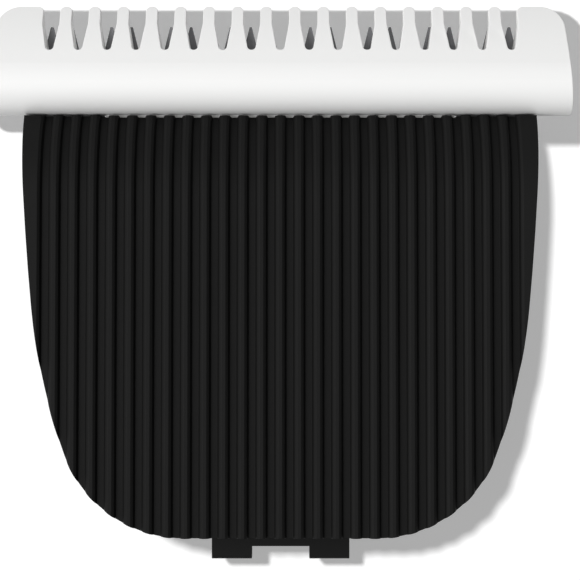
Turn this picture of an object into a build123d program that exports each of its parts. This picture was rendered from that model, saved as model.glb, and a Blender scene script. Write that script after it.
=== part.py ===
from build123d import *
import os
from math import asin, atan2, cos, degrees, radians, sin, tan

# A clip-on trimmer head: a white comb blade, a steel cutter that slides behind it and a ribbed cover.
# It lies on its back rim. X runs across the teeth, Y towards the tooth tips, Z out of the ribbed face.
# The origin is under the middle of the whole part, in the plane of the back rim.
# All sizes are millimetres and degrees.

os.makedirs("parts", exist_ok=True)

# Comb blade
comb_width = 39.4
comb_end_flare = 0.6
comb_length = 7.6
comb_thickness = 3.2
comb_corner_radius = 1.7
comb_tip_thickness = 0.57
ridge_radius = 3.2
ridge_turn = 22
roll_radius = 2.2
tooth_pitch = 2.0
tooth_tip_roundness = 0.92
gap_mouth = 1.18
gap_root = 0.5
gap_depth = 3.25
gap_parallel = 1.3
gap_root_roundness = 0.92
comb_end_land = 3.2
tongue_width = 24.4
tongue_length = 9.4
tongue_thickness = 0.8
tongue_corner_radius = 1.5

# Cutter blade
cutter_pitch = 1.4
cutter_thickness = 0.6
cutter_setback = 1.35
cutter_tooth_length = 1.9
cutter_tooth_tip = 0.16
cutter_tooth_gap = 0.3
cutter_end_margin = 0.25
cutter_neck_gap = 0.45
cutter_tail_width = 17.0
cutter_tail_length = 4.3
cutter_tail_radius = 0.8

# Travel to each side and running clearances
stroke = 1.2
lap_clearance = 0.02
slide_clearance = 0.05
end_clearance = 0.25
fit_clearance = 0.02

# Ribbed cover
shear_height = 6.0
cover_width = 35.66
cover_length = 29.07
cover_side_lean = 1.57
cover_side_radius = 194.0
cover_side_run = 13.4
cover_shoulder_radius = 41.0
cover_corner_radius = 8.74
cover_wall = 1.4
neck_slit = 0.1
rib_pitch = 1.29
rib_width = 0.84
rib_height = 0.4
rib_shoulder_width = 0.6
rib_shoulder_height = 0.27
rib_crest_width = 0.26
rib_edge_land = 1.3
nose_gap = 0.23
nose_lip = 0.45
nose_angle = 47
nose_radius = 7.8
face_lean = 2.6
mouth_clearance = 0.1
boss_diameter = 5.0

# Lip and hooks under the cover's lower edge, and catches inside its side walls
lip_width = 9.74
lip_reach = 1.23
hook_width = 2.83
hook_reach = 2.14
hook_height = 5.3
hook_thickness = 1.4
hook_barb = 0.5
hook_round = 0.3
catch_length = 5.0
catch_thickness = 0.5
catch_rise = 0.4
catch_from_neck = 19.0
catch_height = 2.2

# Yoke that carries the cutter
yoke_thickness = 1.4
yoke_width = 16.6
yoke_depth = 3.2
yoke_corner_radius = 0.6
stake_diameter = 1.6
stake_spacing = 12.4
stem_width = 8.4
fork_slot = 3.05
fork_wall = 1.3
fork_length = 5.2
fork_gap = 0.8
fork_bridge = 1.2
fork_height = 3.0

# Frame that guides the fork and clamps the comb's tongue
frame_thickness = 1.4
frame_length = 11.2
frame_front_gap = 3.2
frame_fit = 0.15
frame_lift = 0.18
post_diameter = 5.0
saddle_width = 2.0
saddle_depth = 2.4
saddle_spacing = 8.4
saddle_wall = 0.5
saddle_mouth = 0.55

# Wire spring
wire_diameter = 0.7
wire_clearance = 0.05
spring_span = 13.0
spring_tip_run = 0.7
spring_rise_run = 1.3
spring_bend_radius = 1.5
spring_tip_radius = 0.8

# Screws
screw_spacing = 18.4
screw_from_neck = 6.8
screw_diameter = 2.0
screw_hole_clearance = 0.15
screw_grip = 2.1
screw_head_diameter = 3.6
screw_head_height = 1.3
screw_head_bevel = 0.4
recess_length = 2.0
recess_width = 0.45
recess_depth = 0.7

# How far a cutting shape runs past what it cuts, how near a point counts as in place, a quarter turn
overrun = 1.0
near = 0.01
quarter_turn = 90

# Heights that follow from the stack of blades
tongue_top = shear_height + tongue_thickness
comb_crest = shear_height + comb_thickness
cutter_top = shear_height - lap_clearance
cutter_bottom = cutter_top - cutter_thickness
yoke_bottom = cutter_bottom - yoke_thickness
frame_top = yoke_bottom - frame_lift
frame_bottom = frame_top - frame_thickness

# Lengthways places that follow from the neck, where comb and cover meet
neck_y = (neck_slit + cover_length + hook_reach - comb_length) / 2
comb_tip_y = neck_y + comb_length
comb_ridge_y = neck_y + roll_radius
tongue_end_y = neck_y - tongue_length
cover_end_y = neck_y - neck_slit
cover_bottom_y = cover_end_y - cover_length
cutter_tip_y = comb_tip_y - cutter_setback
cutter_back_y = neck_y + cutter_neck_gap
cutter_tail_y = cutter_back_y - cutter_tail_length
yoke_front_y = cutter_tail_y + yoke_depth
stake_y = (cutter_tail_y + yoke_front_y) / 2
fork_front_y = cutter_tail_y - fork_gap
fork_back_y = fork_front_y - fork_length
frame_front_y = neck_y - frame_front_gap
frame_back_y = frame_front_y - frame_length
screw_y = neck_y - screw_from_neck
screw_places = [(-screw_spacing / 2, screw_y), (screw_spacing / 2, screw_y)]

# The cover's front, measured in its grooves: a leaning face that rolls down to the nose at the neck
nose_y = neck_y - nose_gap
nose_z = tongue_top + nose_lip
roll_center_y = nose_y - nose_radius * sin(radians(nose_angle))
roll_center_z = nose_z - nose_radius * cos(radians(nose_angle))
face_top_y = roll_center_y + nose_radius * sin(radians(face_lean))
face_top_z = roll_center_z + nose_radius * cos(radians(face_lean))
rib_count = 2 * int((cover_width / 2 - rib_edge_land) / rib_pitch - 0.5) + 1

# Counts of teeth, from the room that the comb gives them
gap_count = 2 * int((comb_width / 2 - comb_end_land) / tooth_pitch) + 1
cutter_teeth = 2 * int((comb_width / 2 - stroke - cutter_end_margin) / cutter_pitch)
cutter_width = cutter_teeth * cutter_pitch


def face_height(y):
    """Height of the groove bottoms on the leaning part of the cover's face."""
    return face_top_z + (face_top_y - y) * tan(radians(face_lean))


def cover_outline(inset):
    """Plan of the cover, drawn in by inset: bowed sides, shoulders, round corners and a straight neck."""
    lean = radians(cover_side_lean)
    with BuildSketch() as outline:
        with BuildLine():
            neck_corner = (cover_width / 2, cover_end_y)
            side_turn = degrees(cover_side_run / cover_side_radius)
            side = JernArc(neck_corner, (-sin(lean), -cos(lean)), cover_side_radius, -side_turn)
            shoulder_start = radians(cover_side_lean + side_turn)
            shoulder_drop = (side @ 1).Y - cover_bottom_y
            shoulder_end = asin(sin(shoulder_start) + shoulder_drop / cover_shoulder_radius)
            shoulder_turn = degrees(shoulder_end - shoulder_start)
            shoulder = JernArc(side @ 1, side % 1, cover_shoulder_radius, -shoulder_turn)
            mirror(about=Plane.YZ)
            bottom_half = (shoulder @ 1).X
            Line((-bottom_half, cover_bottom_y), (bottom_half, cover_bottom_y))
            Line((-cover_width / 2, cover_end_y), neck_corner)
        make_face()
        fillet(outline.vertices().group_by(Axis.Y)[0], cover_corner_radius)
        if inset > 0:
            offset(amount=-inset)
    return outline.sketch


# Comb blade: one ground section, trimmed to a plan with tapered gaps and round tooth tips
with BuildPart() as fixed_blade:
    with BuildSketch(Plane.YZ):
        with BuildLine():
            ridge_center = (comb_ridge_y, comb_crest - ridge_radius)
            ridge = CenterArc(ridge_center, ridge_radius, quarter_turn - ridge_turn, ridge_turn)
            roll_center = (comb_ridge_y, comb_crest - roll_radius)
            roll = CenterArc(roll_center, roll_radius, quarter_turn, quarter_turn)
            tip_top = (comb_tip_y, shear_height + comb_tip_thickness)
            TangentArc(ridge @ 0, tip_top, tangent=-(ridge % 0))
            Polyline(roll @ 1, (neck_y, shear_height), (comb_tip_y, shear_height), tip_top)
        make_face()
    extrude(amount=comb_width, both=True)
    tip_half = comb_width / 2
    neck_half = tip_half + comb_end_flare
    gap_reach = (gap_count - 1) / 2 * tooth_pitch + gap_mouth
    gap_taper = atan2((gap_mouth - gap_root) / 2, gap_depth - gap_parallel)
    gap_root_radius = gap_root_roundness * gap_root / 2 * tan((radians(quarter_turn) + gap_taper) / 2)
    tooth_tip_radius = tooth_tip_roundness * (tooth_pitch - gap_mouth) / 2
    with BuildSketch(Plane.XY.offset(shear_height)) as comb_plan:
        with BuildLine():
            Polyline(
                (-neck_half, neck_y),
                (neck_half, neck_y),
                (tip_half, comb_tip_y),
                (-tip_half, comb_tip_y),
                close=True,
            )
        make_face()
        fillet(comb_plan.vertices().group_by(Axis.Y)[-1], comb_corner_radius)
        with Locations((0, comb_tip_y)):
            with GridLocations(tooth_pitch, 0, gap_count, 1):
                Polygon(
                    (-gap_mouth / 2, overrun),
                    (-gap_mouth / 2, -gap_parallel),
                    (-gap_root / 2, -gap_depth),
                    (gap_root / 2, -gap_depth),
                    (gap_mouth / 2, -gap_parallel),
                    (gap_mouth / 2, overrun),
                    align=None,
                    mode=Mode.SUBTRACT,
                )
        for corner_y, corner_radius in (
            (comb_tip_y, tooth_tip_radius),
            (comb_tip_y - gap_depth, gap_root_radius),
        ):
            corners = comb_plan.vertices().filter_by_position(Axis.X, -gap_reach, gap_reach)
            fillet(corners.filter_by_position(Axis.Y, corner_y - near, corner_y + near), corner_radius)
    extrude(amount=comb_thickness + overrun, mode=Mode.INTERSECT)
    with BuildSketch(Plane.XY.offset(shear_height)) as tongue_plan:
        with Locations((0, tongue_end_y)):
            Rectangle(tongue_width, tongue_length + roll_radius, align=(Align.CENTER, Align.MIN))
        fillet(tongue_plan.vertices().group_by(Axis.Y)[0], tongue_corner_radius)
        with Locations(*screw_places):
            Circle(screw_diameter / 2 + screw_hole_clearance, mode=Mode.SUBTRACT)
    extrude(amount=tongue_thickness)

fixed_blade.part.label = "fixed_blade"
export_step(fixed_blade.part, "parts/fixed_blade.step")

# Cutter blade: a flat ground plate with pointed teeth and a tail that the yoke is staked to
with BuildPart() as cutter_blade:
    with BuildSketch(Plane.XY.offset(cutter_bottom)) as cutter_plan:
        with Locations((0, cutter_back_y)):
            head_length = cutter_tip_y - cutter_back_y
            Rectangle(cutter_width, head_length, align=(Align.CENTER, Align.MIN))
        with Locations((0, cutter_tip_y)):
            with GridLocations(cutter_pitch, 0, cutter_teeth + 1, 1):
                mouth_half = (cutter_pitch - cutter_tooth_tip) / 2
                Polygon(
                    (-mouth_half, 0),
                    (-cutter_tooth_gap / 2, -cutter_tooth_length),
                    (cutter_tooth_gap / 2, -cutter_tooth_length),
                    (mouth_half, 0),
                    align=None,
                    mode=Mode.SUBTRACT,
                )
        with Locations((0, cutter_tail_y)):
            Rectangle(cutter_tail_width, cutter_tail_length, align=(Align.CENTER, Align.MIN))
        fillet(cutter_plan.vertices().group_by(Axis.Y)[0], cutter_tail_radius)
        with Locations((-stake_spacing / 2, stake_y), (stake_spacing / 2, stake_y)):
            Circle(stake_diameter / 2 + fit_clearance, mode=Mode.SUBTRACT)
    extrude(amount=cutter_thickness)

cutter_blade.part.label = "cutter_blade"
export_step(cutter_blade.part, "parts/cutter_blade.step")

# Drive yoke: a T under the cutter's tail, two stakes through the tail and a fork for the drive pin
with BuildPart() as drive_yoke:
    fork_width = fork_slot + 2 * fork_wall
    with BuildSketch(Plane.XY.offset(yoke_bottom)) as yoke_plan:
        with Locations((0, cutter_tail_y)):
            Rectangle(yoke_width, yoke_depth, align=(Align.CENTER, Align.MIN))
        fillet(yoke_plan.vertices(), yoke_corner_radius)
        with Locations((0, fork_back_y)):
            stem_length = yoke_front_y - fork_back_y - yoke_corner_radius
            Rectangle(stem_width, stem_length, align=(Align.CENTER, Align.MIN))
    extrude(amount=yoke_thickness)
    with BuildSketch(Plane.XY.offset(yoke_bottom)):
        with Locations((0, fork_back_y)):
            Rectangle(fork_width, fork_length, align=(Align.CENTER, Align.MIN))
    extrude(amount=-fork_height)
    with BuildSketch(Plane.XY.offset(yoke_bottom - fork_height)):
        slot_end_y = fork_front_y - fork_bridge - fork_slot / 2
        with Locations((0, slot_end_y)):
            Circle(fork_slot / 2)
            slot_run = slot_end_y - fork_back_y + overrun
            Rectangle(fork_slot, slot_run, align=(Align.CENTER, Align.MAX))
    extrude(amount=fork_height, mode=Mode.SUBTRACT)
    with BuildSketch(Plane.XY.offset(cutter_bottom)):
        with Locations((-stake_spacing / 2, stake_y), (stake_spacing / 2, stake_y)):
            Circle(stake_diameter / 2)
    extrude(amount=cutter_thickness)

drive_yoke.part.label = "drive_yoke"
export_step(drive_yoke.part, "parts/drive_yoke.step")

# Blade frame: a plate inside the cover with a guide window, two clamping posts and two wire saddles
wire_z = frame_bottom - wire_diameter / 2 - wire_clearance
wire_bridge_y = frame_back_y + saddle_depth / 2
with BuildPart() as blade_frame:
    with BuildSketch(Plane.XY.offset(frame_bottom)):
        add(cover_outline(cover_wall + frame_fit))
        with Locations((0, frame_back_y)):
            Rectangle(cover_width, frame_length, align=(Align.CENTER, Align.MIN), mode=Mode.INTERSECT)
    extrude(amount=frame_thickness)
    with BuildSketch(Plane.XY.offset(frame_top)):
        with Locations(*screw_places):
            Circle(post_diameter / 2)
    extrude(amount=shear_height - frame_top)
    with BuildSketch(Plane.XY.offset(frame_bottom)):
        with Locations(*screw_places):
            Circle(screw_diameter / 2 + screw_hole_clearance)
        with Locations((0, fork_back_y - slide_clearance)):
            window_width = fork_width + 2 * (stroke + end_clearance)
            window_length = fork_length + 2 * slide_clearance
            Rectangle(window_width, window_length, align=(Align.CENTER, Align.MIN))
    extrude(amount=shear_height - frame_bottom, mode=Mode.SUBTRACT)
    saddle_height = wire_diameter + 2 * wire_clearance + saddle_wall
    saddle_places = [(-saddle_spacing / 2, wire_bridge_y), (saddle_spacing / 2, wire_bridge_y)]
    with BuildSketch(Plane.XY.offset(frame_bottom)):
        with Locations(*saddle_places):
            Rectangle(saddle_width, saddle_depth)
    extrude(amount=-saddle_height)
    with BuildSketch(Plane.YZ):
        with Locations((wire_bridge_y, wire_z)):
            Circle(wire_diameter / 2 + wire_clearance)
            Rectangle(saddle_mouth, saddle_height, align=(Align.CENTER, Align.MAX))
    extrude(amount=saddle_spacing, both=True, mode=Mode.SUBTRACT)

blade_frame.part.label = "blade_frame"
export_step(blade_frame.part, "parts/blade_frame.step")

# Tension spring: one wire, held in the saddles, with two arms that press under the yoke's wings
with BuildPart() as tension_spring:
    tip_z = yoke_bottom - wire_diameter / 2 - wire_clearance
    rise_start_y = frame_front_y + wire_diameter / 2
    rise_end_y = rise_start_y + spring_rise_run
    arm_x = spring_span / 2
    with BuildLine() as wire_path:
        FilletPolyline(
            (-arm_x, rise_end_y + spring_tip_run, tip_z),
            (-arm_x, rise_end_y, tip_z),
            (-arm_x, rise_start_y, wire_z),
            (-arm_x, wire_bridge_y, wire_z),
            (arm_x, wire_bridge_y, wire_z),
            (arm_x, rise_start_y, wire_z),
            (arm_x, rise_end_y, tip_z),
            (arm_x, rise_end_y + spring_tip_run, tip_z),
            radius=[spring_tip_radius] * 2 + [spring_bend_radius] * 2 + [spring_tip_radius] * 2,
        )
    with BuildSketch(Plane(wire_path.wire() @ 0, z_dir=wire_path.wire() % 0)):
        Circle(wire_diameter / 2)
    sweep()

tension_spring.part.label = "tension_spring"
export_step(tension_spring.part, "parts/tension_spring.step")

# Frame screws: two equal pan heads with cross recesses, whose shanks end in the cover's bosses
with BuildPart() as frame_screws:
    with BuildSketch(Plane.XY.offset(frame_bottom)):
        with Locations(*screw_places):
            Circle(screw_head_diameter / 2)
    extrude(amount=-screw_head_height)
    chamfer(frame_screws.edges().group_by(Axis.Z)[0], screw_head_bevel)
    with BuildSketch(Plane.XY.offset(frame_bottom)):
        with Locations(*screw_places):
            Circle(screw_diameter / 2)
    extrude(amount=tongue_top + screw_grip - frame_bottom)
    with BuildSketch(Plane.XY.offset(frame_bottom - screw_head_height)):
        with Locations(*screw_places):
            Rectangle(recess_length, recess_width)
            Rectangle(recess_width, recess_length)
    extrude(amount=recess_depth, mode=Mode.SUBTRACT)

frame_screws.part.label = "frame_screws"
export_step(frame_screws.part, "parts/frame_screws.step")

# Hollow of the cover: its outline drawn in by the wall, up to the same distance under the grooves
with BuildPart() as cover_hollow:
    inner_radius = nose_radius - cover_wall
    hollow_end_y = cover_end_y - cover_wall
    hollow_end_angle = degrees(asin((hollow_end_y - roll_center_y) / inner_radius))
    with BuildSketch(Plane.YZ):
        with BuildLine():
            inner_roll = CenterArc(
                (roll_center_y, roll_center_z),
                inner_radius,
                quarter_turn - hollow_end_angle,
                hollow_end_angle - face_lean,
            )
            roll_top = inner_roll @ 1
            far_run = roll_top.X - cover_bottom_y
            Polyline(
                roll_top,
                (cover_bottom_y, roll_top.Y + far_run * tan(radians(face_lean))),
                (cover_bottom_y, -overrun),
                (hollow_end_y, -overrun),
                inner_roll @ 0,
            )
        make_face()
    extrude(amount=cover_width, both=True)
    with BuildSketch(Plane.XY.offset(-overrun)):
        add(cover_outline(cover_wall))
    extrude(amount=face_height(cover_bottom_y) + overrun, mode=Mode.INTERSECT)

# Front cover: the outline carried up past the face, then ribbed, hollowed and opened at the neck
with BuildPart() as front_cover:
    with BuildSketch():
        add(cover_outline(0))
    extrude(amount=face_height(cover_bottom_y) + overrun)
    face_normal_y = sin(radians(face_lean))
    face_normal_z = cos(radians(face_lean))
    face_plane = Plane(
        origin=(0, face_top_y, face_top_z),
        x_dir=(1, 0, 0),
        z_dir=(0, -face_normal_z, face_normal_y),
    )
    with BuildSketch(face_plane) as rib_air:
        air_height = nose_radius
        land_start = (rib_count + 1) / 2 * rib_pitch
        land_width = cover_width / 2 + overrun - land_start
        Rectangle(cover_width + 2 * overrun, air_height, align=(Align.CENTER, Align.MIN))
        with GridLocations(rib_pitch, 0, rib_count + 2, 1):
            Polygon(
                (-rib_width / 2, 0),
                (rib_width / 2, 0),
                (rib_shoulder_width / 2, rib_shoulder_height),
                (rib_crest_width / 2, rib_height),
                (-rib_crest_width / 2, rib_height),
                (-rib_shoulder_width / 2, rib_shoulder_height),
                align=None,
                mode=Mode.SUBTRACT,
            )
        with Locations((-land_start, 0)):
            Rectangle(land_width, rib_height, align=(Align.MAX, Align.MIN), mode=Mode.SUBTRACT)
        with Locations((land_start, 0)):
            Rectangle(land_width, rib_height, align=(Align.MIN, Align.MIN), mode=Mode.SUBTRACT)
    extrude(amount=(face_top_y - cover_bottom_y) / face_normal_z + overrun, mode=Mode.SUBTRACT)
    roll_axis = Axis((0, roll_center_y, roll_center_z), (-1, 0, 0))
    revolve(rib_air.sketch, roll_axis, quarter_turn - face_lean, mode=Mode.SUBTRACT)
    with BuildSketch(Plane.YZ):
        with BuildLine():
            lean_run = tan(radians(nose_angle))
            Polyline(
                (nose_y - nose_lip * lean_run, tongue_top),
                (nose_y + overrun * lean_run, nose_z + overrun),
                (cover_end_y + overrun, nose_z + overrun),
                (cover_end_y + overrun, tongue_top),
                close=True,
            )
        make_face()
    mouth_width = tongue_width + 2 * mouth_clearance
    extrude(amount=mouth_width / 2, both=True, mode=Mode.SUBTRACT)
    add(cover_hollow.part, mode=Mode.SUBTRACT)
    with BuildSketch(Plane.XY.offset(tongue_top)):
        with Locations(*screw_places):
            Circle(boss_diameter / 2)
    extrude(amount=face_height(screw_y) - cover_wall / 2 - tongue_top)
    with BuildSketch(Plane.XY.offset(tongue_top)):
        with Locations(*screw_places):
            Circle(screw_diameter / 2 + fit_clearance)
    extrude(amount=screw_grip + fit_clearance, mode=Mode.SUBTRACT)
    with BuildSketch(Plane.XY):
        with Locations((0, tongue_end_y - mouth_clearance)):
            mouth_length = tongue_length + overrun
            Rectangle(mouth_width, mouth_length, align=(Align.CENTER, Align.MIN))
    extrude(amount=tongue_top, mode=Mode.SUBTRACT)
    lip_inner_y = cover_bottom_y + cover_wall / 2
    with BuildSketch(Plane.XY.offset(hook_height - hook_thickness)):
        with Locations((0, lip_inner_y)):
            lip_length = lip_inner_y - cover_bottom_y + lip_reach
            Rectangle(lip_width, lip_length, align=(Align.CENTER, Align.MAX))
    extrude(amount=hook_thickness)
    hook_end_y = cover_bottom_y - hook_reach
    hook_x = (lip_width - hook_width) / 2
    for side in (-1, 1):
        with BuildSketch(Plane.YZ.offset(side * hook_x)) as hook_section:
            with BuildLine():
                Polyline(
                    (lip_inner_y, hook_height),
                    (hook_end_y, hook_height),
                    (hook_end_y, hook_height - hook_thickness - hook_barb),
                    (hook_end_y + hook_barb, hook_height - hook_thickness - hook_barb),
                    (hook_end_y + 2 * hook_barb, hook_height - hook_thickness),
                    (lip_inner_y, hook_height - hook_thickness),
                    close=True,
                )
            make_face()
            fillet(hook_section.vertices().group_by(Axis.X)[0], hook_round)
        extrude(amount=hook_width / 2, both=True)
    catch_y = neck_y - catch_from_neck
    with BuildSketch(Plane.XY.offset(catch_height)) as catch_plan:
        add(cover_outline(cover_wall / 2))
        add(cover_outline(cover_wall + catch_rise), mode=Mode.SUBTRACT)
        with Locations((0, catch_y)):
            Rectangle(cover_width, catch_length, mode=Mode.INTERSECT)
    extrude(amount=catch_thickness, both=True)

front_cover.part.label = "front_cover"
export_step(front_cover.part, "parts/front_cover.step")
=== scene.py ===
# %% [markdown]
# A clip-on hair trimmer head, dressed for its picture.
# A white ceramic comb stands over a steel cutter that slides from side to side, and a ribbed black
# cover carries both. The solids are already built, so this lesson gives every surface
# the finish that its maker would give it, and then lights and frames the part.

# %% Load the imported part
from math import atan, cos, degrees, hypot, radians, sin

import bmesh
import bpy
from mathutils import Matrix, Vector


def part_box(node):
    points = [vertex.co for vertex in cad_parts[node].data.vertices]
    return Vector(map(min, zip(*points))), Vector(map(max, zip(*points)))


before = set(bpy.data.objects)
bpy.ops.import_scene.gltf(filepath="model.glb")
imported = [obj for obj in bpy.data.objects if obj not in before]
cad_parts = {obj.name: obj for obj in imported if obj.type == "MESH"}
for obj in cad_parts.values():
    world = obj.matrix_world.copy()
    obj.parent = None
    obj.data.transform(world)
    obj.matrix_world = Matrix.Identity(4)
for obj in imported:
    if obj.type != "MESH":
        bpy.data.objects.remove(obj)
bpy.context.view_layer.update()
mm = 0.001
for name, piece in sorted(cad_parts.items()):
    print("loaded", name, "with", len(piece.data.polygons), "faces")

# %% [markdown]
# Every finish below is a small tree of shader nodes on one Principled shader, which can be plastic,
# ceramic or metal by a few of its sockets. A solid wears one finish all over, as each of these pieces
# comes from one batch of one material.

# %% Start a finish and put it on
def start_finish(name):
    """A new material with its Principled shader: (material, tree, shader)."""
    material = bpy.data.materials.new(name)
    material.use_nodes = True
    shader = material.node_tree.nodes["Principled BSDF"]
    return material, material.node_tree, shader


def dress(node_name, material):
    """Gives a solid its finish."""
    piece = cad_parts[node_name]
    piece.data.materials.clear()
    piece.data.materials.append(material)
    print("dressed", node_name, "in", material.name)


# %% [markdown]
# No real surface has the same gloss all over, and few have one tone, so noise varies them.
# An image would need the piece unwrapped. Noise that follows the piece's own coordinates doesn't, and it
# stays put as the cutter slides, because the coordinates move with the piece. Stretched along an axis,
# the same noise turns into scratches.

# %% Noise that follows a piece
def grain(tree, size, detail=2.0, stretch=(1.0, 1.0, 1.0)):
    """Noise with features about as large as size, drawn out along an axis by its stretch."""
    place = tree.nodes.new("ShaderNodeTexCoord")
    mapping = tree.nodes.new("ShaderNodeMapping")
    mapping.inputs["Scale"].default_value = [1 / (size * along) for along in stretch]
    noise = tree.nodes.new("ShaderNodeTexNoise")
    noise.inputs["Scale"].default_value = 1.0
    noise.inputs["Detail"].default_value = detail
    tree.links.new(place.outputs["Object"], mapping.inputs["Vector"])
    tree.links.new(mapping.outputs["Vector"], noise.inputs["Vector"])
    return noise.outputs["Fac"]


# %% [markdown]
# Most values of a noise lie near the middle of its range, so used as they are they would change little.
# The middle stretch is spread over the range that a finish asks for: as numbers for the roughness, and
# as tones for the colour.

# %% Values and tones from noise
noise_low = 0.3
noise_high = 0.7


def spread(tree, source, low, high):
    """The middle stretch of a noise, as values from low to high."""
    node = tree.nodes.new("ShaderNodeMapRange")
    node.inputs["From Min"].default_value = noise_low
    node.inputs["From Max"].default_value = noise_high
    node.inputs["To Min"].default_value = low
    node.inputs["To Max"].default_value = high
    tree.links.new(source, node.inputs["Value"])
    return node.outputs["Result"]


def tint(tree, source, dark, light, low=noise_low, high=noise_high):
    """A value as a colour between two tones, dark up to low and light from high."""
    node = tree.nodes.new("ShaderNodeValToRGB")
    node.color_ramp.elements[0].position = low
    node.color_ramp.elements[0].color = (*dark, 1.0)
    node.color_ramp.elements[1].position = high
    node.color_ramp.elements[1].color = (*light, 1.0)
    tree.links.new(source, node.inputs["Fac"])
    return node.outputs["Color"]


# %% [markdown]
# No real edge is perfectly sharp: a line of light runs along it. Rounding every edge of the mesh would
# cost thousands of faces for something a twentieth of a millimetre wide, so a Bevel node shades each
# edge as if it were rounded. The grain of the surface then goes on top of that as a fine bump.

# %% Relief over rounded edges
def relief(tree, height, depth, strength, edge_radius):
    """A bump of that depth over edges that look rounded by that radius, as a normal for the shader."""
    edges = tree.nodes.new("ShaderNodeBevel")
    edges.samples = 6
    edges.inputs["Radius"].default_value = edge_radius
    node = tree.nodes.new("ShaderNodeBump")
    node.inputs["Distance"].default_value = depth
    node.inputs["Strength"].default_value = strength
    tree.links.new(height, node.inputs["Height"])
    tree.links.new(edges.outputs["Normal"], node.inputs["Normal"])
    return node.outputs["Normal"]


# %% [markdown]
# The cover is moulded in a steel tool whose face was spark eroded, so its black plastic has a dense
# matt grain a tenth of a millimetre across and no gloss to speak of.
# A painted look would come from one flat black. Here the grooves between the ribs are painted darker than
# the rib tops, as painted shade where the ribs keep the light out. A rule on height couldn't find the
# grooves where the ribs roll over the nose. An Ambient Occlusion node can, whatever way the face turns:
# it tells how much of the open air a spot sees, and the colour darkens with it.

# %% Matt moulded plastic of the cover
def open_air(tree, reach):
    """1 on open ground and less in a groove, where the piece itself shuts the air out within reach."""
    node = tree.nodes.new("ShaderNodeAmbientOcclusion")
    node.samples = 8
    node.only_local = True
    node.inputs["Distance"].default_value = reach
    return node.outputs["AO"]


def moulded_black():
    material, tree, shader = start_finish("moulded_black")
    # Painted shade: the colour is darker where the AO node finds a groove, where less light reaches.
    painted_groove_shade = open_air(tree, reach=0.8 * mm)
    colour = tint(tree, painted_groove_shade, dark=(0.0046, 0.0046, 0.0045), light=(0.0082, 0.0082, 0.0081),
                  low=0.5, high=1.0)
    tree.links.new(colour, shader.inputs["Base Color"])
    spark = grain(tree, size=0.11 * mm, detail=3.0)
    tree.links.new(spread(tree, spark, low=0.48, high=0.58), shader.inputs["Roughness"])
    normal = relief(tree, spark, depth=0.012 * mm, strength=0.5, edge_radius=0.06 * mm)
    tree.links.new(normal, shader.inputs["Normal"])
    shader.inputs["Specular IOR Level"].default_value = 0.05
    return material


dress("front_cover", moulded_black())

# %% [markdown]
# The comb is zirconia: fired white and then ground, so it is dense, satin and cool to the eye.
# White with one even gloss would look like paper. Grinding leaves very fine lines along the comb, which
# show only in the way they spread a highlight, so noise drawn out along the length goes into the
# roughness and the relief, and not into the tone.
# Where the tongue runs in under the nose of the cover, it lies in shade, so its colour is painted a
# duller grey there. This is painted shade, and a line across the piece at the neck parts the two tones.

# %% Ground white ceramic of the comb
def past_line(tree, y, blend):
    """0 behind a line across the piece, and 1 in front of it."""
    place = tree.nodes.new("ShaderNodeTexCoord")
    split = tree.nodes.new("ShaderNodeSeparateXYZ")
    node = tree.nodes.new("ShaderNodeMapRange")
    node.inputs["From Min"].default_value = y - blend / 2
    node.inputs["From Max"].default_value = y + blend / 2
    tree.links.new(place.outputs["Object"], split.inputs["Vector"])
    tree.links.new(split.outputs["Y"], node.inputs["Value"])
    return node.outputs["Result"]


def ground_ceramic():
    material, tree, shader = start_finish("ground_ceramic")
    past_cover = 0.07 * mm
    neck_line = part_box("front_cover")[1].y + past_cover
    # Painted shade: behind the neck line the comb is coloured grey, where it runs into shade under the
    # cover.
    clear_of_painted_shade = past_line(tree, neck_line, blend=0.06 * mm)
    colour = tint(tree, clear_of_painted_shade, dark=(0.45, 0.45, 0.44), light=(0.856, 0.856, 0.850), low=0.0, high=1.0)
    tree.links.new(colour, shader.inputs["Base Color"])
    lines = grain(tree, size=0.06 * mm, detail=3.0, stretch=(40.0, 1.0, 1.0))
    tree.links.new(spread(tree, lines, low=0.50, high=0.60), shader.inputs["Roughness"])
    normal = relief(tree, lines, depth=0.002 * mm, strength=0.4, edge_radius=0.08 * mm)
    tree.links.new(normal, shader.inputs["Normal"])
    # The line printed here is where the painted shade of the tongue begins.
    print("the grinding ends at y", round(neck_line / mm, 2), "mm")
    return material


dress("fixed_blade", ground_ceramic())

# %% [markdown]
# The cutter is a hardened steel plate, ground flat on both sides, which leaves it dark grey with
# straight scratches along the teeth.
# An anisotropic gloss would smear the highlights in the same way, but it shows no single scratch. Noise
# drawn out along Y does, and it changes the tone and the roughness together, as a real scratch does.

# %% Ground steel of the cutter
def ground_steel():
    material, tree, shader = start_finish("ground_steel")
    scratches = grain(tree, size=0.03 * mm, detail=4.0, stretch=(1.0, 60.0, 1.0))
    colour = tint(tree, scratches, dark=(0.10, 0.10, 0.105), light=(0.15, 0.15, 0.155))
    tree.links.new(colour, shader.inputs["Base Color"])
    tree.links.new(spread(tree, scratches, low=0.42, high=0.58), shader.inputs["Roughness"])
    normal = relief(tree, scratches, depth=0.002 * mm, strength=0.5, edge_radius=0.02 * mm)
    tree.links.new(normal, shader.inputs["Normal"])
    shader.inputs["Metallic"].default_value = 1.0
    return material


dress("cutter_blade", ground_steel())

# %% [markdown]
# The yoke is acetal left in its natural colour, the slippery milky plastic of small gears.
# A plain off-white would look like chalk. A little subsurface scattering lets light into the thin edges,
# and a soft cloud stands for the uneven flow of the moulding.

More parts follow.
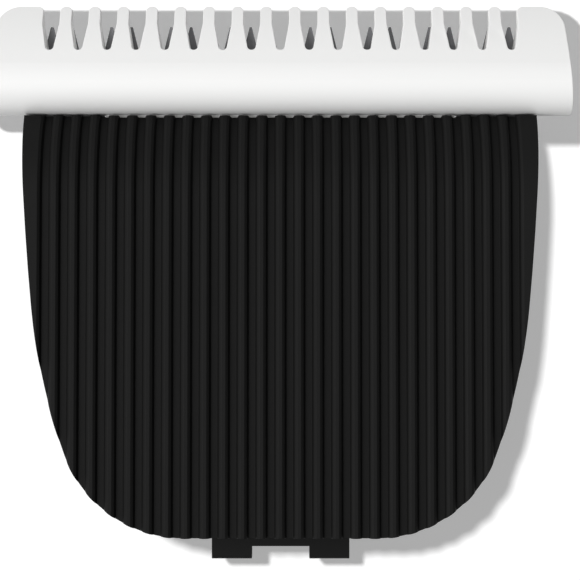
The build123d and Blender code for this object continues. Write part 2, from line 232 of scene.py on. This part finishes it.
# %% Natural acetal of the yoke
def natural_acetal():
    material, tree, shader = start_finish("natural_acetal")
    flow = grain(tree, size=2 * mm)
    colour = tint(tree, flow, dark=(0.70, 0.69, 0.645), light=(0.745, 0.735, 0.695))
    tree.links.new(colour, shader.inputs["Base Color"])
    skin = grain(tree, size=0.15 * mm)
    tree.links.new(spread(tree, skin, low=0.38, high=0.50), shader.inputs["Roughness"])
    normal = relief(tree, skin, depth=0.004 * mm, strength=0.4, edge_radius=0.12 * mm)
    tree.links.new(normal, shader.inputs["Normal"])
    shader.inputs["Subsurface Weight"].default_value = 0.25
    shader.inputs["Subsurface Radius"].default_value = (1.0, 0.95, 0.85)
    shader.inputs["Subsurface Scale"].default_value = 0.6 * mm
    return material


dress("drive_yoke", natural_acetal())

# %% [markdown]
# The frame inside is black plastic too, but from a smoother tool that nobody looks at, so it has a
# faint satin gloss with slow waves where the melt met. The cover's grain would look too rough here, so
# this one is about twice as coarse and half as deep.

# %% Satin black plastic of the frame
def satin_black():
    material, tree, shader = start_finish("satin_black")
    flow = grain(tree, size=2.5 * mm)
    colour = tint(tree, flow, dark=(0.013, 0.013, 0.014), light=(0.018, 0.018, 0.019))
    tree.links.new(colour, shader.inputs["Base Color"])
    skin = grain(tree, size=0.2 * mm, detail=3.0)
    tree.links.new(spread(tree, skin, low=0.40, high=0.52), shader.inputs["Roughness"])
    normal = relief(tree, skin, depth=0.006 * mm, strength=0.4, edge_radius=0.10 * mm)
    tree.links.new(normal, shader.inputs["Normal"])
    shader.inputs["Specular IOR Level"].default_value = 0.35
    return material


dress("blade_frame", satin_black())

# %% [markdown]
# The spring is drawn wire: bright, with faint streaks where the die touched it.
# Streaks that follow the wire round its bends would need a map along its path. The wire is so thin
# that noise drawn out in the plane it lies in looks the same.

# %% Drawn wire of the spring
def drawn_wire():
    material, tree, shader = start_finish("drawn_wire")
    streaks = grain(tree, size=0.08 * mm, detail=3.0, stretch=(6.0, 6.0, 1.0))
    colour = tint(tree, streaks, dark=(0.46, 0.46, 0.47), light=(0.60, 0.60, 0.61))
    tree.links.new(colour, shader.inputs["Base Color"])
    tree.links.new(spread(tree, streaks, low=0.18, high=0.34), shader.inputs["Roughness"])
    shader.inputs["Metallic"].default_value = 1.0
    return material


dress("tension_spring", drawn_wire())

# %% [markdown]
# The screws are turned and zinc plated, so their heads carry faint rings about their own axis.
# Each screw could have a finish of its own, with the rings set on its axis. Both stand at the same
# distance from the middle plane, though, so one finish serves them: folding X about that plane puts the
# two axes in one place, and the distance from it drives the rings. The node folds Y and Z in the same
# go, which does no harm: each head lies all on one side of those planes.

# %% Rings about the screws' axes
def turned_rings(tree, axis_x, axis_y, pitch):
    """Heights that rise and fall with the distance from an axis along Z, and from its mirror image."""
    place = tree.nodes.new("ShaderNodeTexCoord")
    fold = tree.nodes.new("ShaderNodeVectorMath")
    fold.operation = "ABSOLUTE"
    shift = tree.nodes.new("ShaderNodeVectorMath")
    shift.operation = "SUBTRACT"
    shift.inputs[1].default_value = (axis_x, abs(axis_y), 0.0)
    flatten = tree.nodes.new("ShaderNodeVectorMath")
    flatten.operation = "MULTIPLY"
    flatten.inputs[1].default_value = (1.0, 1.0, 0.0)
    away = tree.nodes.new("ShaderNodeVectorMath")
    away.operation = "LENGTH"
    rings = tree.nodes.new("ShaderNodeMath")
    rings.operation = "PINGPONG"
    rings.inputs[1].default_value = pitch
    tree.links.new(place.outputs["Object"], fold.inputs[0])
    tree.links.new(fold.outputs["Vector"], shift.inputs[0])
    tree.links.new(shift.outputs["Vector"], flatten.inputs[0])
    tree.links.new(flatten.outputs["Vector"], away.inputs[0])
    tree.links.new(away.outputs["Value"], rings.inputs[0])
    return rings.outputs["Value"]


screws_low, screws_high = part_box("frame_screws")
screw_head_radius = (screws_high.y - screws_low.y) / 2
screw_axis_x = screws_high.x - screw_head_radius
screw_axis_y = (screws_high.y + screws_low.y) / 2
print("screw axes at x", round(screw_axis_x / mm, 2), "and y", round(screw_axis_y / mm, 2), "mm")

# %% [markdown]
# Zinc plating is a little uneven in tone and gloss. The rings come as true heights, as high as their
# pitch, so the bump flattens them to a fiftieth: marks of a turning tool are far wider than deep.

# %% Plated steel of the screws
def turned_and_plated():
    material, tree, shader = start_finish("turned_and_plated")
    plating = grain(tree, size=0.3 * mm)
    colour = tint(tree, plating, dark=(0.56, 0.56, 0.55), light=(0.66, 0.66, 0.65))
    tree.links.new(colour, shader.inputs["Base Color"])
    tree.links.new(spread(tree, plating, low=0.20, high=0.32), shader.inputs["Roughness"])
    rings = turned_rings(tree, screw_axis_x, screw_axis_y, pitch=0.12 * mm)
    normal = relief(tree, rings, depth=0.02, strength=0.15, edge_radius=0.06 * mm)
    tree.links.new(normal, shader.inputs["Normal"])
    shader.inputs["Metallic"].default_value = 1.0
    return material


dress("frame_screws", turned_and_plated())

# %% [markdown]
# The head lies on a plain white table, and its shadow there is a light grey. Lit by a lamp alone, white
# paint falls a little short of white, and the shadow on it is nearly black. A strong fill light would
# lift both, but it would also flood the ribs. So the paint will glow a little, for the camera and for
# mirrors only. A Light Path node tells which kind of ray has met a surface, so it can keep the glow from
# lighting the part.

# %% What the camera sees
def shown_to_camera(tree):
    """1 for a camera, mirror or glass ray, and 0 for light that falls on things."""
    path = tree.nodes.new("ShaderNodeLightPath")
    found = path.outputs["Is Camera Ray"]
    for kind in ("Is Glossy Ray", "Is Transmission Ray"):
        either = tree.nodes.new("ShaderNodeMath")
        either.operation = "MAXIMUM"
        tree.links.new(found, either.inputs[0])
        tree.links.new(path.outputs[kind], either.inputs[1])
        found = either.outputs["Value"]
    return found


# %% [markdown]
# The paint is plain and dead matt, since a gloss would mirror the comb in the table. Its glow is about
# half as bright as what the table gives back of its lamp. That lifts the table to full white and its
# shadow to a light grey.

# %% White paint
white = (1.0, 1.0, 1.0, 1.0)


def table_paint(glow):
    material, tree, shader = start_finish("table_paint")
    shader.inputs["Base Color"].default_value = (0.8, 0.8, 0.8, 1.0)
    shader.inputs["Roughness"].default_value = 0.9
    shader.inputs["Specular IOR Level"].default_value = 0.0
    shader.inputs["Emission Color"].default_value = white
    level = tree.nodes.new("ShaderNodeMath")
    level.operation = "MULTIPLY"
    level.inputs[1].default_value = glow
    tree.links.new(shown_to_camera(tree), level.inputs[0])
    tree.links.new(level.outputs["Value"], shader.inputs["Emission Strength"])
    return material


white_paint = table_paint(glow=0.35)
print("mixed", white_paint.name)

# %% [markdown]
# The table is one flat square, far wider than the picture, so that no edge shows from any side. It lies
# a hair under the rim of the cover, because two faces in the same place would flicker.

# %% White table
table_half = 1.5
table_gap = 0.01 * mm
table_mesh = bpy.data.meshes.new("table")
sheet = bmesh.new()
bmesh.ops.create_grid(sheet, x_segments=1, y_segments=1, size=table_half)
sheet.to_mesh(table_mesh)
sheet.free()
table = bpy.data.objects.new("table", table_mesh)
table.location.z = -table_gap
bpy.context.scene.collection.objects.link(table)
table.data.materials.append(white_paint)
print("table", 2 * table_half, "m wide")

# %% [markdown]
# Pictures of goods are often made from two exposures: one lights the table and draws the shadow, the
# other lights the goods softly. Light linking does the same in one go, with a list for each lamp of
# what it lights.
# The table's lamp is a sun lamp high on the left, which lights the table evenly right out to the edges.
# Its lean comes from the shadow: the ridge of the cover stands a known height over the table, and its
# shadow falls a measured distance to the right and towards the hooks.

# %% Table lamp
def aim(lamp, place_from, lit_objects):
    """Adds a lamp that shines from that direction on those objects."""
    holder = bpy.data.objects.new(lamp.name, lamp)
    holder.rotation_euler = place_from.to_track_quat("Z", "Y").to_euler()
    bpy.context.scene.collection.objects.link(holder)
    lit = bpy.data.collections.new("lit by " + lamp.name)
    for piece in lit_objects:
        lit.objects.link(piece)
    holder.light_linking.receiver_collection = lit
    return holder


shadow_right = 2.6 * mm
shadow_down = 2.6 * mm
ridge_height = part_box("front_cover")[1].z
table_lamp = bpy.data.lights.new("table_lamp", "SUN")
table_lamp.energy = 2.8
table_lamp.angle = radians(4.2)
aim(table_lamp, Vector((-shadow_right, shadow_down, ridge_height)).normalized(), [table])
lean = degrees(atan(hypot(shadow_right, shadow_down) / ridge_height))
print("the lamp leans", round(lean, 1), "degrees from straight above")

# %% [markdown]
# The head's own lamp is a big soft box, hung over its left side. A small lamp would draw a hard line
# beside every rib. The soft box rounds off the comb from crest to neck, and it leaves the grooves of the
# cover and the right flank of each rib dark, which is what draws the ribs.

# %% Soft box
soft_box = bpy.data.lights.new("soft_box", "AREA")
soft_box.shape = "SQUARE"
soft_box.size = 2.8
soft_box.energy = 128.0
soft_box_place = Vector((-1.72, -0.10, 2.36))
aim(soft_box, soft_box_place.normalized(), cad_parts.values()).location = soft_box_place
print("the soft box hangs", round(soft_box_place.length, 2), "m away")

# %% [markdown]
# The comb overhangs the table, so the table's lamp would light the white table behind its white teeth,
# and the teeth would be lost. A flag, the card that a photographer hangs in front of a lamp, keeps the
# table under the comb in even shade. It hangs between the comb and the table and reaches a little past
# the comb. Square corners would show in its shadow, so each corner is an arc.

# %% Outline of the flag
flag_height = 3.0 * mm
flag_front = 1.35 * mm
flag_left = 1.4 * mm
flag_right = 1.5 * mm
flag_back = 0.08 * mm
front_round = 2.6 * mm
back_round = 1.2 * mm
arc_steps = 6
quarter_turn = radians(90)
comb_low, comb_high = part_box("fixed_blade")
left = comb_low.x - flag_left
right = comb_high.x + flag_right
front = comb_high.y + flag_front
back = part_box("front_cover")[1].y + flag_back
outline = []
for corner in range(4):
    rounding = front_round if corner in (0, 1) else back_round
    x = right - rounding if corner in (0, 3) else left + rounding
    y = front - rounding if corner in (0, 1) else back + rounding
    for step in range(arc_steps + 1):
        turn = quarter_turn * (corner + step / arc_steps)
        outline.append((x + rounding * cos(turn), y + rounding * sin(turn), flag_height))
print("flag", round((right - left) / mm, 1), "by", round((front - back) / mm, 1), "mm")

# %% [markdown]
# The flag is a single face on that outline. A card that lets itself be seen would hide the table, so this
# one is switched off for every kind of ray but shadow rays: it blocks the lamps, and nothing shows it.

# %% Flag under the comb
flag_mesh = bpy.data.meshes.new("flag")
flag_mesh.from_pydata(outline, [], [range(len(outline))])
flag = bpy.data.objects.new("flag", flag_mesh)
bpy.context.scene.collection.objects.link(flag)
flag.visible_camera = False
flag.visible_diffuse = False
flag.visible_glossy = False
flag.visible_transmission = False
print("the flag hangs", round(flag_height / mm, 1), "mm over the table")

# %% [markdown]
# The room is pale. It fills the shadows a little, and the camera and every mirror see it as plain white.
# A picture of a studio could light the part too, but it would leave its pattern on every bright face.

# %% Room
room = bpy.data.worlds.new("room")
bpy.context.scene.world = room
room.use_nodes = True
tree = room.node_tree
fill = tree.nodes["Background"]
fill.inputs["Color"].default_value = white
fill.inputs["Strength"].default_value = 0.10
backdrop = tree.nodes.new("ShaderNodeBackground")
backdrop.inputs["Color"].default_value = white
backdrop.inputs["Strength"].default_value = 1.0
choose = tree.nodes.new("ShaderNodeMixShader")
tree.links.new(shown_to_camera(tree), choose.inputs["Fac"])
tree.links.new(fill.outputs["Background"], choose.inputs[1])
tree.links.new(backdrop.outputs["Background"], choose.inputs[2])
tree.links.new(choose.outputs["Shader"], tree.nodes["World Output"].inputs["Surface"])
print("the room fills with", round(fill.inputs["Strength"].default_value, 2))

# %% [markdown]
# The camera looks straight down from close by, which is why the far ends of the comb show their inner
# tooth walls, and why the ribs spread a little towards the hooks, where the cover stands nearer to the
# lens. A camera without perspective would lose both.
# Its distance comes from that spread, and its lens from the width that the picture takes in.

# %% Camera
picture_width = 40.42 * mm
picture_height_over_table = 7.5 * mm
camera_distance = 140 * mm
camera_x = 0.665 * mm
camera_y = -0.415 * mm
sensor_width = 36.0
camera = bpy.data.cameras.new("camera")
camera.sensor_width = sensor_width
camera.lens = sensor_width * camera_distance / picture_width
camera.clip_start = 5 * mm
camera.clip_end = 10.0
camera_object = bpy.data.objects.new("camera", camera)
camera_object.location = (camera_x, camera_y, picture_height_over_table + camera_distance)
bpy.context.scene.collection.objects.link(camera_object)
bpy.context.scene.camera = camera_object
bpy.context.scene.view_settings.view_transform = "Standard"
print("lens", round(camera.lens, 1), "mm")
